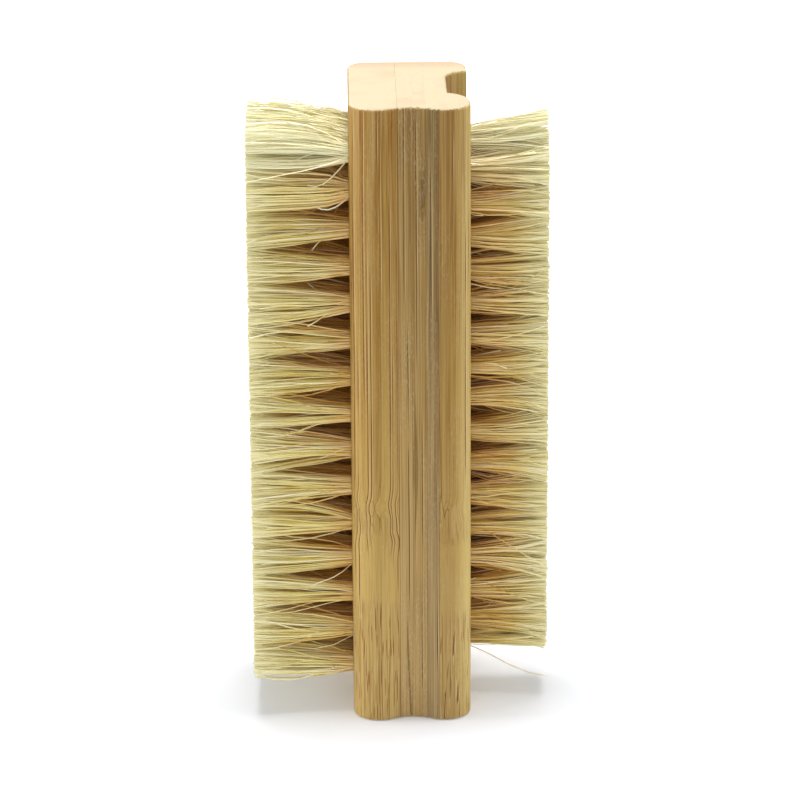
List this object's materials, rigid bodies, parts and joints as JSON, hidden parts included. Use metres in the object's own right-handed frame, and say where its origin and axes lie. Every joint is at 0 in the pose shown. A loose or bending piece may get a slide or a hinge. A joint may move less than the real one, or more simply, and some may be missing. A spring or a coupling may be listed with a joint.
{
  "type": "nail brush",
  "caption": "Double-sided nail brush with a laminated bamboo block, a wide field of trimmed bristle tufts on one face and a narrow field set in a channel on the other.",
  "frame": {"origin": "centre of the block's lower end face, on which the brush stands", "axes": "+Z along the block's length, up as it stands; -X out of the wide bristle side; +X out of the channelled side with the narrow bristle field; -Y out of the flank with the finger groove"},
  "size_m": [0.0467, 0.03, 0.1],
  "materials": {
    "bamboo_board": "sanded honey-coloured bamboo, fine lengthwise fibre, barely sealed",
    "bamboo_core": "sanded greyer bamboo plies with dark glue lines between them",
    "bristle": "pale cream plant-fibre bristle, slightly glossy, cut square at the tips",
    "staple_wire": "flat drawn steel wire"
  },
  "bodies": {
    "root": {"wide_board": "bamboo_board", "core_ply_1": "bamboo_core", "core_ply_2": "bamboo_core", "core_ply_3": "bamboo_core", "channel_board": "bamboo_board", "wide_bristle_row_1": "bristle", "wide_bristle_row_2": "bristle", "wide_bristle_row_3": "bristle", "wide_bristle_row_4": "bristle", "wide_bristle_row_5": "bristle", "narrow_bristle_row_front": "bristle", "narrow_bristle_row_back": "bristle", "narrow_bristle_tuft_upper": "bristle", "narrow_bristle_tuft_lower": "bristle", "wide_staples": "staple_wire", "narrow_staples": "staple_wire"}
  },
  "joints": []
}
